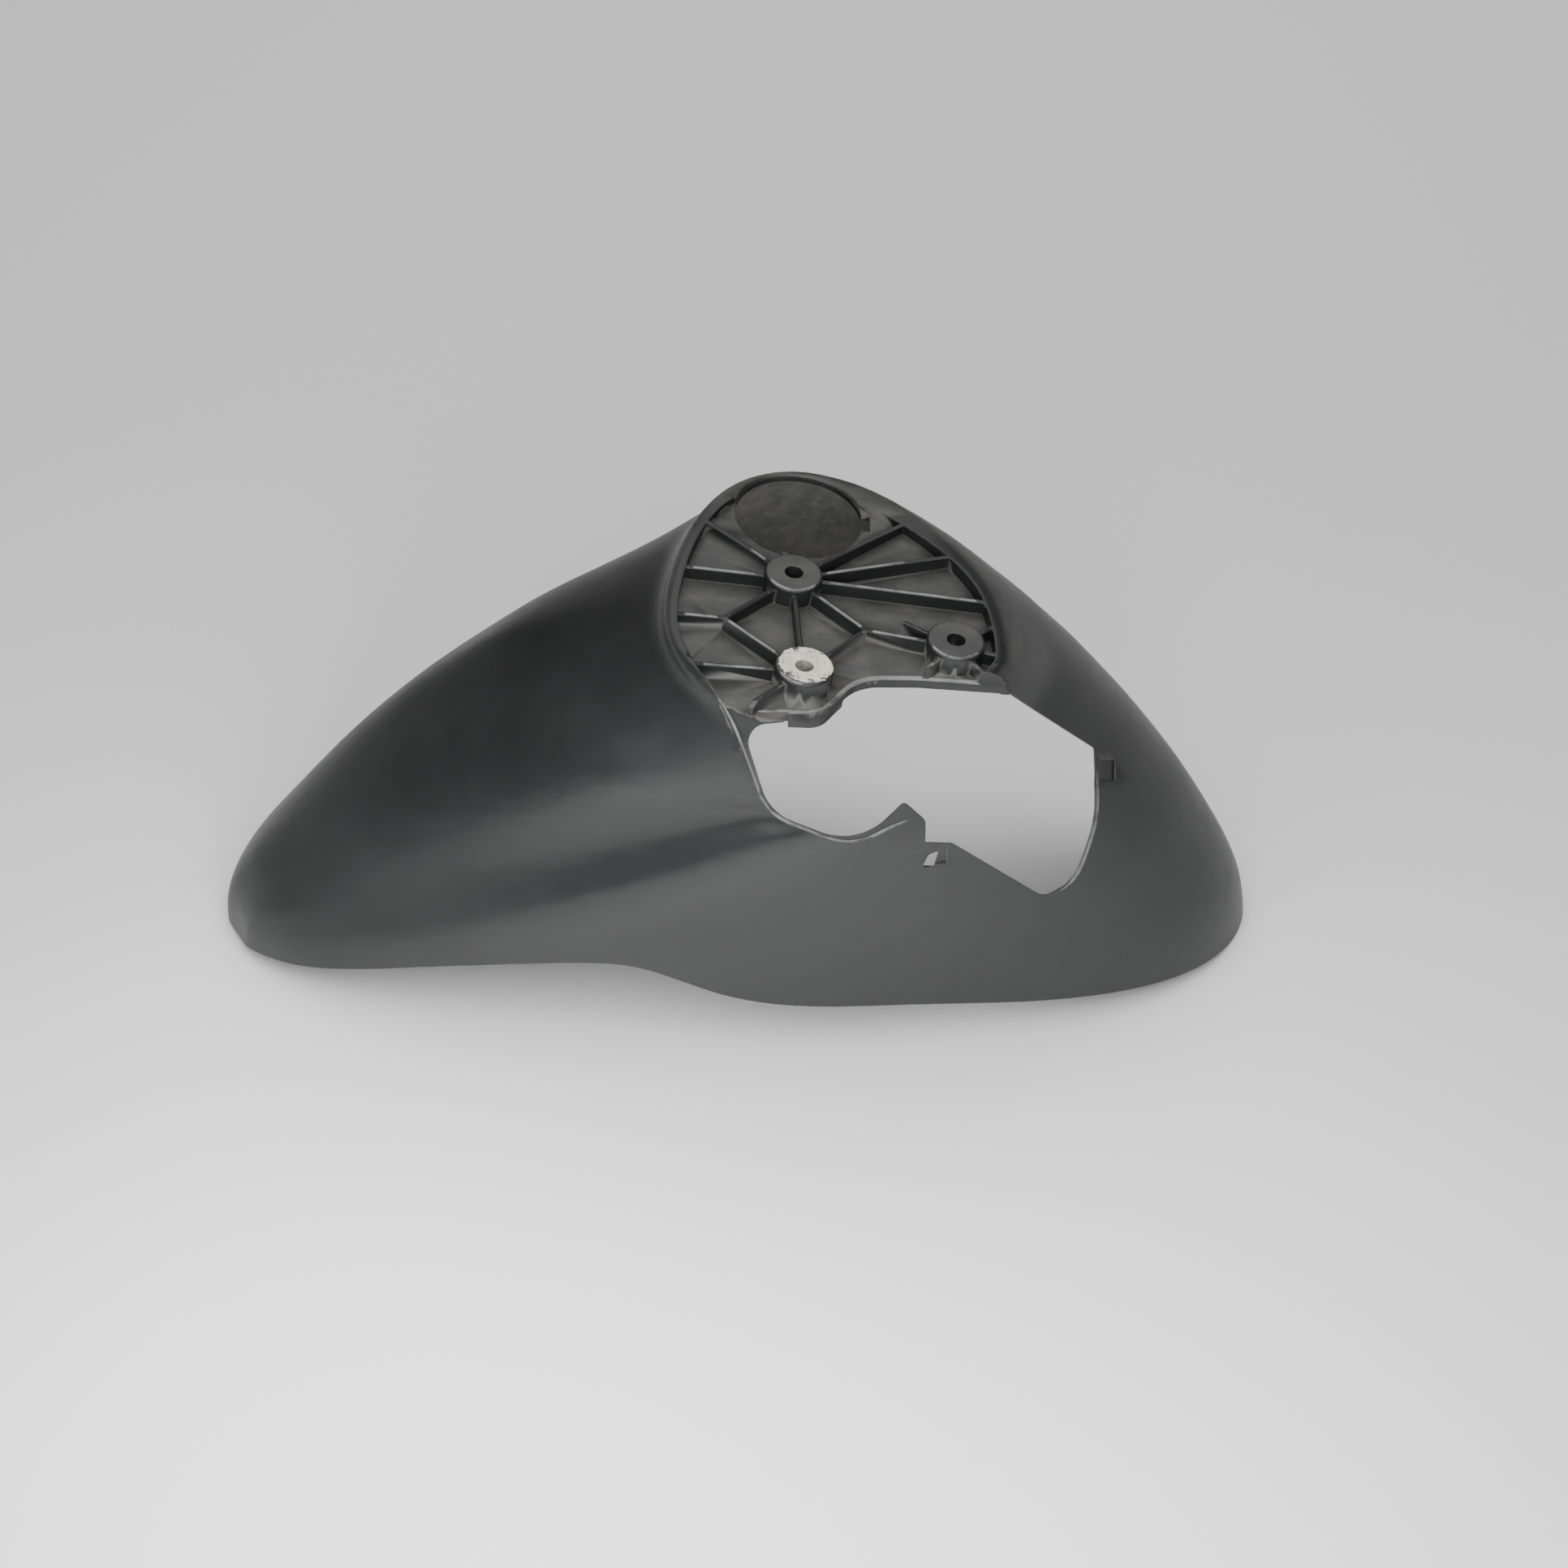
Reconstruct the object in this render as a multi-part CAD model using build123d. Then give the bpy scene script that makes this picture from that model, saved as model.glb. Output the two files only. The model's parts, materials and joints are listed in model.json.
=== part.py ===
from build123d import *
import math
import os

# Front mudguard of a scooter with a one-sided fork, moulded in one piece.
# Millimetres. +X points to the rear of the scooter, +Y to the closed side, -Y to the fork side, +Z up.
# The origin is the centre of the steering hole, on the floor of the fork seat.

# Main sizes. The sides are measured from the middle, which stands to the fork side of the steering axis
NOSE = -305.0
TAIL = 238.0
FORK_SIDE = -115.0
CLOSED_SIDE = 97.0
FOOT = -226.0  # height of the hood's foot, near the lower edges
MID_Y = -28.0
WALL = 2.8
REACH = 400.0  # cuts are drawn out this far, past every side of the part

# Fork seat: a recessed floor that leans back, with ribs up to the rim
SEAT_LEAN = 7.4
SEAT_THICKNESS = 3.2
RIM_HEIGHT = 7.5
RIM_WIDTH = 3.2
RIM_DIP_START = -60.0  # from here to the closed side the rim dips
RIM_DIP_RADIUS = 650.0
RIB_WIDTH = 2.4
RIB_HEIGHT = 7.2
STEERING_R = 32.5
STEERING_NOTCH = (4.0, 12.0)  # depth and width of the keyway in the steering hole
STEERING_STEP = 0.8  # the rim stands back this far from the hole

# Bosses for the three fork bolts, as (along the seat, across) from the steering axis
BOSS_1 = (-4.0, -57.0)
BOSS_2 = (1.0, -126.0)
BOSS_3 = (76.0, -96.0)
BOSS_R = 14.5
BOSS_HEIGHT = 11.0
BOSS_EDGE = 1.6
BOLT_R = 4.6

# Edge of the seat along the opening as (along the seat, across, corner radius), front to rear
SEAT_EDGE = [(-43, -155, 0), (-8, -148.5, 8), (11, -147, 12), (29, -119, 24), (59, -115, 30), (109, -113, 0)]
# Front corner of the recess over the seat, where the rim's crest runs off the seat, drawn like the edge
CORNER = [(-59, -106, 0), (-52, -130, 60), (-38.5, -147.5, 40), (-24, -163, 0), (12, -163, 0), (12, -106, 0)]
EDGE_DEPTH = 6.0  # the edge is thickened this far down
EDGE_WIDTH = 4.0
EDGE_MARGIN = 0.5  # the opening stops this far under the thickened edge
TAB_START = -4.5  # and further down along a tab below the middle boss
TAB_LENGTH = 26.5
TAB_DEPTH = 10.0

# The hood, as level lines from below the trim up to the rim. Each has its height, its lean, the nose and
# tail, how far its own axis stands off the middle, the fork side, the closed side, the x where it is
# widest, how full the closed side is before and behind that, and how far the apron stands proud.
HOOD = [
    (FOOT - 60, 0.0, NOSE - 1, TAIL + 6, 0, FORK_SIDE + 5, CLOSED_SIDE - 1, -34, 0.06, 0.06, 0),
    (FOOT, 0.0, NOSE, TAIL, 0, FORK_SIDE, CLOSED_SIDE, -34, 0.02, 0.03, 0),
    (FOOT + 60, 0.0, NOSE + 41, TAIL - 27, 0, FORK_SIDE - 5, CLOSED_SIDE - 4, -23, -0.01, 0.0, 3),
    (FOOT + 115, 1.5, NOSE + 93, TAIL - 57, -4, FORK_SIDE - 9, CLOSED_SIDE - 10, -8, -0.02, -0.02, 6),
    (-66, 3.0, -158, 152, -12, FORK_SIDE - 14, CLOSED_SIDE - 17, 3, -0.015, -0.035, 6),
    (-50, 3.7, -133, 141, -18, FORK_SIDE - 17, CLOSED_SIDE - 20, 4, -0.015, -0.04, 2),
    (-32, 4.5, -104, 128, -26, FORK_SIDE - 19, CLOSED_SIDE - 23, 5, -0.015, -0.05, 0),
    (-7, 6.4, -70, 112, -50, -132, 69, 4, 0.0, -0.06, 0),
    (RIM_HEIGHT - 4, 7.2, -66, 104, -62, -129, 61, 3, 0.02, -0.08, 0),
    (RIM_HEIGHT, SEAT_LEAN, -63, 99, -67, -125, 53, 1, 0.04, -0.09, 0),
]
STEPS = (4, 4, 4, 3, 2, 2, 2, 2, 2)  # level lines drawn in each gap of the list
FORK_SIDE_FULLNESS = 0.05

# The apron's crease climbs from the nose to the foot of the fork opening
CREASE_X = -22.0
CREASE_Z = -64.0
CREASE_SLOPE = 0.6
LEDGE_TURN = 6.0

# Lower edges as (x, height over the foot), nose to tail
TRIM_FORK_SIDE = [
    (NOSE - 28, -35), (NOSE - 1, -23), (NOSE + 42, -4), (NOSE + 115, 29), (-123, 49), (-83, 51), (-43, 32),
    (-8, 21), (57, 16), (127, 3), (TAIL - 41, -14), (TAIL + 2, -25), (TAIL + 29, -32),
]
TRIM_CLOSED_SIDE = [
    (NOSE - 28, -35), (NOSE - 1, -23), (NOSE + 62, 6), (-123, 54), (-3, 76), (87, 76), (TAIL - 71, 34),
    (TAIL - 26, -10), (TAIL + 2, -25), (TAIL + 29, -32),
]

# Opening that the fork arm passes through, drawn on a plane tipped over to face the fork side.
# Each corner is (x, up the plane, corner radius).
OPENING_TIP = 43.0
OPENING_START = -90.0  # the cut begins this far behind the origin, clear of the closed side
OPENING = [
    (-27.5, -107.5, 9), (-14.5, -149, 24), (28.5, -165.5, 30), (51, -143.6, 2.5), (62, -153, 5),
    (62, -163.8, 0.8), (75.5, -164.2, 3), (124.5, -192.5, 8), (140.5, -184, 22), (150.8, -153, 55),
    (149.5, -117, 2), (103, -91, 3), (99, -60, 0), (-3, -60, 0), (-6, -105.5, 3),
]

# Below the seat the rim's crest runs on down to the opening. Inside this outline the wall steps in behind it
CREST = [(-48, -81, 0), (-37.6, -97.5, 20), (-26.5, -121.5, 60), (-20, -140, 0), (0, -140, 0), (0, -81, 0)]
CREST_STEP = 1.4

# Clip pockets sunk in the skin beside the opening as (x, up the plane, length, height), and the slot that
# goes right through in the first of them, drawn like the opening
CLIP_POCKETS = [(67.5, -171.5, 12, 13), (157.5, -128, 15, 11)]
CLIP_POCKET_DEPTH = 1.3
CLIP_SLOT = [(61.3, -175.6, 0.5), (64, -170.3, 3), (69, -168.2, 0.6), (67, -175.8, 0.5)]


def seat_plane(height=0.0):
    lean = math.radians(SEAT_LEAN)
    across = (math.cos(lean), 0, -math.sin(lean))
    normal = (math.sin(lean), 0, math.cos(lean))
    return Plane(origin=(0, 0, 0), x_dir=across, z_dir=normal).offset(height)


def slope(column, i):
    before, after = max(i - 1, 0), min(i + 1, len(HOOD) - 1)
    return (HOOD[after][column] - HOOD[before][column]) / (HOOD[after][0] - HOOD[before][0])


def level_between(i, t):
    """A level line between two of the list, with each of its sizes on a smooth curve."""
    low, high = HOOD[i], HOOD[i + 1]
    gap = high[0] - low[0]
    level = [low[0] + gap * t]
    for column in range(1, len(low)):
        start, end = slope(column, i) * gap, slope(column, i + 1) * gap
        rise = high[column] - low[column]
        bend = (3 * rise - 2 * start - end) * t**2 + (start + end - 2 * rise) * t**3
        level.append(low[column] + start * t + bend)
    return level


def oval_point(end, middle, fullness, angle):
    turn = math.radians(angle)
    along = math.cos(turn)
    across = math.sin(turn) * (1 + fullness * math.sin(2 * turn) ** 2)
    return (middle[0] + (end[0] - middle[0]) * along, middle[1] + (end[1] - middle[1]) * across)


def crease_angle(height, nose, widest):
    x = CREASE_X + (height - CREASE_Z) / CREASE_SLOPE
    share = min(max((widest - x) / (widest - nose), 0), 1)
    return min(max(math.degrees(math.acos(share)), 24), 84)


def fork_side_angles(crease):
    """Angles of the drawn points round the fork side: nose, crease, top of the ledge, on to the tail."""
    top = crease + LEDGE_TURN
    return [0, crease / 3, crease * 2 / 3, crease] + [top + (180 - top) * k / 7 for k in range(7)]


def level_line(level, inset):
    """One closed level line of the hood, drawn inside the outer skin by the inset."""
    height, lean, nose, tail, axis, fork, closed, widest, front, rear, ledge = level
    middle = (widest, MID_Y + axis)
    nose, tail = nose + inset, tail - inset
    fork, closed = MID_Y + fork + inset, MID_Y + closed - inset
    crease = crease_angle(height, nose, widest)
    points = [oval_point((nose, closed), middle, front, 90 - 15 * i) for i in range(6)]
    for angle in fork_side_angles(crease):
        proud = 0 if angle <= crease else ledge * min(1, (180 - angle) / 90)
        if angle <= 90:
            points.append(oval_point((nose, fork - proud), middle, FORK_SIDE_FULLNESS, angle))
        else:
            points.append(oval_point((tail, fork - proud), middle, FORK_SIDE_FULLNESS, 180 - angle))
    points += [oval_point((tail, closed), middle, rear, 15 * i) for i in range(6)]
    fall = math.tan(math.radians(lean))
    curve = [(x, y, height - inset - x * fall) for x, y in points]
    turns = [15 * i for i in range(6)] + [90 + angle for angle in fork_side_angles(55)]
    turns += [270 + 15 * i for i in range(7)]
    return Wire([Edge.make_spline(curve, periodic=True, parameters=[turn / 360 for turn in turns])])


def hood(inset=0.0):
    levels = [level_between(i, k / count) for i, count in enumerate(STEPS) for k in range(count)]
    levels.append(HOOD[-1])
    return Solid.make_loft([level_line(level, inset) for level in levels])


def bar(start, end, width, bottom, top):
    """A straight rib on the seat from one point to another, between two heights."""
    run = Vector(*end) - Vector(*start)
    middle = (Vector(*start) + Vector(*end)) / 2
    angle = math.degrees(math.atan2(run.Y, run.X))
    box = Box(run.length, width, top - bottom, align=(Align.CENTER, Align.CENTER, Align.MIN))
    return seat_plane(bottom) * (Pos(middle.X, middle.Y) * Rot(Z=angle) * box)


def rib_lines():
    """Ends of the seat ribs, from the bosses out to the rim and to one another."""
    front, rear = (-38, -92), (32, -91)  # where ribs meet between the bosses
    return [
        (BOSS_1, (-53, -13)), (BOSS_1, (-63, -56)), (BOSS_1, front), (front, (-65, -92)),
        (front, BOSS_2), (BOSS_2, (-63, -128)), (BOSS_2, (-35, -164)), (BOSS_1, BOSS_2),
        (BOSS_1, rear), (rear, BOSS_2), (rear, BOSS_3), (BOSS_1, (97, -61)),
        (BOSS_1, (85, -24)), (BOSS_1, (63, 6)), (BOSS_3, (51, -82)), (BOSS_3, (101, -74)),
        (BOSS_3, (107, -102)), (BOSS_3, (97, -124)), (BOSS_3, (55, -124)),
    ]


def seat_recess():
    """The hollow over the seat floor, less the ribs that stand in it."""
    normal = seat_plane().z_dir
    recess = extrude(Face(level_line(HOOD[-1], RIM_WIDTH)), amount=REACH, dir=normal, both=True)
    recess = split(recess, bisect_by=seat_plane(), keep=Keep.TOP)
    recess = recess + seat_plane() * extrude(outline(CORNER), amount=REACH)
    return recess - [bar(a, b, RIB_WIDTH, -1, RIB_HEIGHT) for a, b in rib_lines()]


def rim_dip():
    """What is taken off the rim where it dips towards the closed side."""
    start = (RIM_DIP_START, RIM_HEIGHT)
    dip = JernArc(start=start, tangent=(1, 0), radius=RIM_DIP_RADIUS, arc_size=-12)
    end = dip @ 1
    closing = Polyline(end, (end.X, REACH), (RIM_DIP_START, REACH), start)
    plane = Plane(origin=(0, 0, 0), x_dir=(0, 1, 0), z_dir=seat_plane().x_dir)
    return plane * extrude(make_face(dip + closing), amount=REACH, both=True)


def outline(corners):
    """A closed flat face whose corners each have their own radius."""
    face = make_face(Polyline(*[(x, y) for x, y, radius in corners], close=True))
    for x, y, radius in corners:
        if radius:
            face = fillet(face.vertices().sort_by_distance((x, y, 0))[0], radius)
    return face


def to_depths(face, edge_depth, tab_depth, height):
    """A face on the seat floor drawn up to a height from below it, and from lower down along the tab."""
    tab = face & Pos(TAB_START + TAB_LENGTH / 2, 0) * Rectangle(TAB_LENGTH, 2 * REACH)
    edge = seat_plane(-edge_depth) * extrude(face, amount=edge_depth + height)
    return edge + seat_plane(-tab_depth) * extrude(tab, amount=tab_depth + height)


def seat_block():
    """The room the seat takes up as far as its edge along the opening."""
    front, rear = SEAT_EDGE[0][0], SEAT_EDGE[-1][0]
    face = outline(SEAT_EDGE + [(rear, REACH, 0), (front, REACH, 0)])
    return to_depths(face, EDGE_DEPTH + EDGE_MARGIN, TAB_DEPTH + EDGE_MARGIN, REACH)


def edge_strip():
    """The thickened edge of the seat, drawn past it and cut back with the opening."""
    front, rear = SEAT_EDGE[0][0], SEAT_EDGE[-1][0]
    inside = [(x, y + EDGE_WIDTH, radius) for x, y, radius in SEAT_EDGE]
    return to_depths(outline(inside + [(rear, -REACH, 0), (front, -REACH, 0)]), EDGE_DEPTH, TAB_DEPTH, 0)


def bosses():
    raised = []
    for spot in (BOSS_1, BOSS_2, BOSS_3):
        post = Cylinder(BOSS_R, BOSS_HEIGHT + SEAT_THICKNESS, align=(Align.CENTER, Align.CENTER, Align.MIN))
        post = fillet(post.edges().group_by(Axis.Z)[-1], BOSS_EDGE)
        raised.append(seat_plane(-SEAT_THICKNESS) * Pos(*spot) * post)
    return raised


def seat_holes():
    depth, width = STEERING_NOTCH
    tall = 4 * BOSS_HEIGHT
    steering = Cylinder(STEERING_R, tall) + Pos(STEERING_R, 0) * Box(2 * depth, width, tall)
    over = (Align.CENTER, Align.CENTER, Align.MIN)
    steering = steering + Cylinder(STEERING_R + STEERING_STEP, tall / 2, align=over)
    bolts = [Pos(*spot) * Cylinder(BOLT_R, tall) for spot in (BOSS_1, BOSS_2, BOSS_3)]
    return [seat_plane() * hole for hole in [steering] + bolts]


def below(points, side):
    """Everything under a lower edge on one side of the shell's middle."""
    start, end = points[0], points[-1]
    closing = Polyline(end, (end[0], -REACH), (start[0], -REACH), start)
    face = make_face(Plane.XZ * (Spline(*points) + closing))
    return Pos(0, MID_Y, FOOT) * extrude(face, amount=REACH, dir=(0, side, 0))


def opening_plane():
    tip = math.radians(OPENING_TIP)
    return Plane(origin=(0, 0, 0), x_dir=(1, 0, 0), z_dir=(0, -math.cos(tip), math.sin(tip)))


def through_cut(corners):
    """An outline on the opening's plane, drawn out through the wall on the fork side."""
    return opening_plane().offset(OPENING_START) * extrude(outline(corners), amount=REACH)


def corner_layer(depth):
    """The outer layer of the hood below the seat, between the rim's crest and the edge of the seat."""
    return split(through_cut(CREST), bisect_by=seat_plane(), keep=Keep.BOTTOM) - hood(depth)


def skin_plane(skin, x, up):
    """The plane that touches the outer skin at a place given on the opening's plane."""
    sight = Axis(opening_plane().from_local_coords((x, up, 0)), opening_plane().z_dir)
    point, normal = skin.find_intersection_points(sight)[-1]
    return Plane(origin=point, x_dir=(1, 0, 0), z_dir=normal)


def clip_cuts(skin):
    """The clip pockets, and the slot in the first of them."""
    cuts = []
    for x, up, length, height in CLIP_POCKETS:
        cuts.append(skin_plane(skin, x, up) * Box(length, height, 2 * CLIP_POCKET_DEPTH))
    return cuts + [through_cut(CLIP_SLOT)]


def mudguard():
    outer = hood()
    skin = outer.faces().sort_by(SortBy.AREA)[-1]
    hollow = split(hood(WALL), bisect_by=seat_plane(-SEAT_THICKNESS), keep=Keep.BOTTOM)
    hollow = hollow - edge_strip() - corner_layer(CREST_STEP + WALL)
    shell = outer - hollow - seat_recess() - rim_dip() - corner_layer(CREST_STEP)
    shell = shell - (below(TRIM_FORK_SIDE, -1) + below(TRIM_CLOSED_SIDE, 1))
    shell = shell - (through_cut(OPENING) - seat_block()) - clip_cuts(skin)
    shell = shell + bosses() - seat_holes()
    return shell


part = mudguard()
os.makedirs("parts", exist_ok=True)
export_step(part, "parts/mudguard.step")
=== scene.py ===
import json
import math

import bmesh
import bpy
from bpy.props import FloatProperty, FloatVectorProperty, IntProperty, PointerProperty
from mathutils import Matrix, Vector


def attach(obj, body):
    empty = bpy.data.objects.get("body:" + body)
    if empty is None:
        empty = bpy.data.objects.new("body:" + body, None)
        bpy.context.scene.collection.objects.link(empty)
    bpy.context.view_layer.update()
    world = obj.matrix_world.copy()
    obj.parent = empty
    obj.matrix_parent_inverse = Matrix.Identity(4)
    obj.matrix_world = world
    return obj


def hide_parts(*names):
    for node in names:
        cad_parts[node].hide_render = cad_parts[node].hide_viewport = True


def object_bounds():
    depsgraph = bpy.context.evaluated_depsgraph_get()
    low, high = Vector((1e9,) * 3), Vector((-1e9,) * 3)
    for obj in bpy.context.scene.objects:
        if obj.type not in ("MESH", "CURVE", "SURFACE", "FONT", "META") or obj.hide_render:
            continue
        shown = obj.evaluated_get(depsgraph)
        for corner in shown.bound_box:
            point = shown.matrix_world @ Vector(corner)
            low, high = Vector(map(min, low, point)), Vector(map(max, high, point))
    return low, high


bl_info = {
    "name": "Scooter front mudguard",
    "version": (1, 0, 0),
    "blender": (4, 5, 0),
    "location": "3D View > Sidebar > Mudguard",
    "description": "Dresses the moulded front mudguard in satin black plastic on a studio floor",
    "category": "Object",
}

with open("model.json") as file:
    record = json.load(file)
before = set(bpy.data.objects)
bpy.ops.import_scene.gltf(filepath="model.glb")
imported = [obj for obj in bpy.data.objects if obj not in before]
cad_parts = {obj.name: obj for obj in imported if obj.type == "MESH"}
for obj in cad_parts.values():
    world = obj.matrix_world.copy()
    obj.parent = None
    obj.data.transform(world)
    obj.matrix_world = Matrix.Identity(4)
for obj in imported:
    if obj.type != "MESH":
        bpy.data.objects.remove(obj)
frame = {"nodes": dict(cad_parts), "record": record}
CAD_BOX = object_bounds()
MOUNTS = {mount["name"]: mount for mount in frame["record"]["mounts"]}
SEAT_UP = Vector(MOUNTS["steering_bore"]["axis"]).normalized()
SEAT_BACK = Vector((SEAT_UP.z, 0, -SEAT_UP.x))
WORN_BOSS = Vector(MOUNTS["fork_bolt_outer"]["pos_m"])
MM = 0.001

# The fork opening is drawn on a plane that is tipped over to face the fork side
OPENING_TIP = math.radians(43)
OPENING_UP = Vector((0, math.sin(OPENING_TIP), math.cos(OPENING_TIP)))
OPENING_OUT = Vector((0, -math.cos(OPENING_TIP), math.sin(OPENING_TIP)))

# Places on the seat in millimetres as (along, across) from the steering axis
BOSS_1, BOSS_2, BOSS_3 = (-4, -57), (1, -126), (76, -96)
RIB_FRONT, RIB_REAR = (-38, -92), (32, -91)
# Ribs whose rounded tops carry the painted highlight, and ribs that run the other way to the light and stay dark
HIGHLIT_RIBS = [
    (BOSS_1, (-53, -13)), (BOSS_1, (-63, -56)), (RIB_FRONT, (-65, -92)), (RIB_FRONT, BOSS_2),
    (BOSS_2, (-63, -128)), (BOSS_1, RIB_REAR), (RIB_REAR, BOSS_3), (BOSS_1, (97, -61)),
    (BOSS_1, (85, -24)), (BOSS_3, (97, -124)), (BOSS_3, (55, -124)),
]
DARK_RIBS = [
    (BOSS_1, RIB_FRONT), (BOSS_2, (-35, -164)), (BOSS_1, BOSS_2), (RIB_REAR, BOSS_2),
    (BOSS_1, (63, 6)), (BOSS_3, (51, -82)), (BOSS_3, (101, -74)), (BOSS_3, (107, -102)),
]
# The part of each boss edge that carries a painted highlight, in degrees, counted from the rear by way of the
# closed side
HIGHLIT_BOSS_ARCS = [(BOSS_1, 185, 345), (BOSS_2, 185, 290), (BOSS_3, 185, 345)]
EDGE_STEP = 5

# Corners of the rolled lips in millimetres, each with its rounding: (along, across) on the seat,
# and (along, up) on the plane of the opening
SEAT_LIP = [
    (-29, -151.4, 0), (-8, -147.5, 7.5), (10.4, -146, 11), (28.4, -118, 25), (59, -114, 31), (103, -112.2, 0),
]
FRONT_LIP = [
    (-44, -86, 0), (-31.7, -106, 40), (-15.8, -150, 24), (28.5, -167, 31), (43.4, -156.4, 20), (59, -151, 0),
]
REAR_LIP = [(127.5, -193, 0), (141.3, -185, 23), (151.9, -153.1, 55.5), (150.7, -121, 0)]

# Where the rays that lay a bead start: over the seat, and out from the opening
OVER_SEAT = 30 * MM
OUT_OF_OPENING = 0.4
RAY_LENGTH = 1.0

# A bead is left out where the shell is further than this from the height of the ribs or of the boss faces,
# or outside these heights over the seat
RIB_BAND = 0.2 * MM
BOSS_BAND = 0.5 * MM
SEAT_LIP_LOWEST, SEAT_LIP_HIGHEST = -4 * MM, 0.6 * MM
ANY_HEIGHT = 1.0

# How far the thin ends of a bead reach
RIB_TAPER = 1 * MM
BOSS_TAPER = 5 * MM
SEAT_LIP_TAPER = 6 * MM
OPENING_LIP_TAPER = 12 * MM

# How a bead is made: steps in a rounded corner, smoothing passes, how many crowns deep its middle lies
# under the skin, and how thick its ends are
CORNER_STEPS = 12
SMOOTHING_PASSES = 8
SUNK_CROWNS = 0.6
END_SHARE = 0.25

# The lug at the steering hole: (along, across, up) of its middle in millimetres, its length and its rounding
LUG_PLACE = (-7, -31.6, -1)
LUG_SIDES = 20
LUG_LENGTH = 4 * MM
LUG_ROUNDING = 0.7 * MM

# The inner skin lies under this height over the seat, and faces the middle of the wheel's room. Close under
# the seat, where the bolt holes are, a face has to point there more clearly
HOOD_MIDDLE = -0.028
INNER_TOP = -0.003
CLEAR_OF_SEAT = -0.014
INWARD, INWARD_NEAR_SEAT = -0.05, -0.4

# How much rougher each finish is where it is faded, dusty, worn, broken or dirty
FADED_ROUGHER = 0.12
DUST_ROUGHER = 0.2
WORN_ROUGHER = 0.3
BROKEN_ROUGHER = 0.15
DIRT_ROUGHER = 0.2
EDGE_SAMPLES = 6
HOLE_WEAR = 0.45

FLOOR_HALF = 4.0
FLOOR_ROUGHNESS = 0.8
FLOOR_SHINE = 0.2
SENSOR_WIDTH = 36.0

# Lights as (name, place, size, target, setting with the power). The two pool lights hang low over the floor,
# which shines back on the flank
PART_MIDDLE = (0, -0.05, -0.15)
LIGHTS = (
    ("overhead_light", (0, -0.14, 2.45), 2.2, PART_MIDDLE, "overhead_power"),
    ("backdrop_light", (0.1, 1.25, 1.25), 1.6, (0.1, 1.0, -0.25), "backdrop_power"),
    ("side_light", (-1.685, -0.05, 1.26), 1.2, PART_MIDDLE, "side_power"),
    ("front_pool_light", (-0.24, -0.44, 0.12), 0.4, (-0.24, -0.44, -0.25), "front_pool_power"),
    ("rear_pool_light", (0.15, -0.62, 0.30), 0.5, (0.15, -0.62, -0.25), "rear_pool_power"),
)


class MudguardSizes(bpy.types.PropertyGroup):
    """Sizes of the fine shapes that the dressed part adds to the moulding."""

    sharp_angle: FloatProperty(
        name="Sharp angle", description="Edges that turn by more than this stay crisp",
        default=math.radians(28), subtype="ANGLE")
    edge_radius: FloatProperty(
        name="Edge radius", description="Rounding of every moulded edge",
        default=0.0009, unit="LENGTH")
    rib_width: FloatProperty(
        name="Rib width", description="Width of the rounded top of a seat rib",
        default=0.0017, unit="LENGTH")
    rib_crown: FloatProperty(
        name="Rib crown", description="How far the rounded top of a rib stands over its flat",
        default=0.0006, unit="LENGTH")
    rib_height: FloatProperty(
        name="Rib height", description="Height of the ribs over the floor of the seat",
        default=0.0072, unit="LENGTH")
    boss_radius: FloatProperty(
        name="Boss radius", description="Radius of a boss face", default=0.0145, unit="LENGTH")
    boss_height: FloatProperty(
        name="Boss height", description="Height of the boss faces over the floor of the seat",
        default=WORN_BOSS.dot(SEAT_UP), unit="LENGTH")
    boss_edge: FloatProperty(
        name="Boss edge", description="Width of the rounded edge of a boss face",
        default=0.0016, unit="LENGTH")
    lip_width: FloatProperty(
        name="Lip width", description="Width of the rolled lips of the opening and the seat",
        default=0.0021, unit="LENGTH")
    lip_crown: FloatProperty(
        name="Lip crown", description="How far a rolled lip stands over the skin",
        default=0.0008, unit="LENGTH")
    bead_sides: IntProperty(
        name="Bead sides", description="Faces round a lip or the top of a rib", default=10, min=4)
    bead_step: FloatProperty(
        name="Bead step", description="Spacing of the rings along a lip or a rib",
        default=0.0015, unit="LENGTH")
    lug_radius: FloatProperty(
        name="Lug radius", description="Small lug on the edge of the steering hole",
        default=0.0022, unit="LENGTH")


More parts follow.
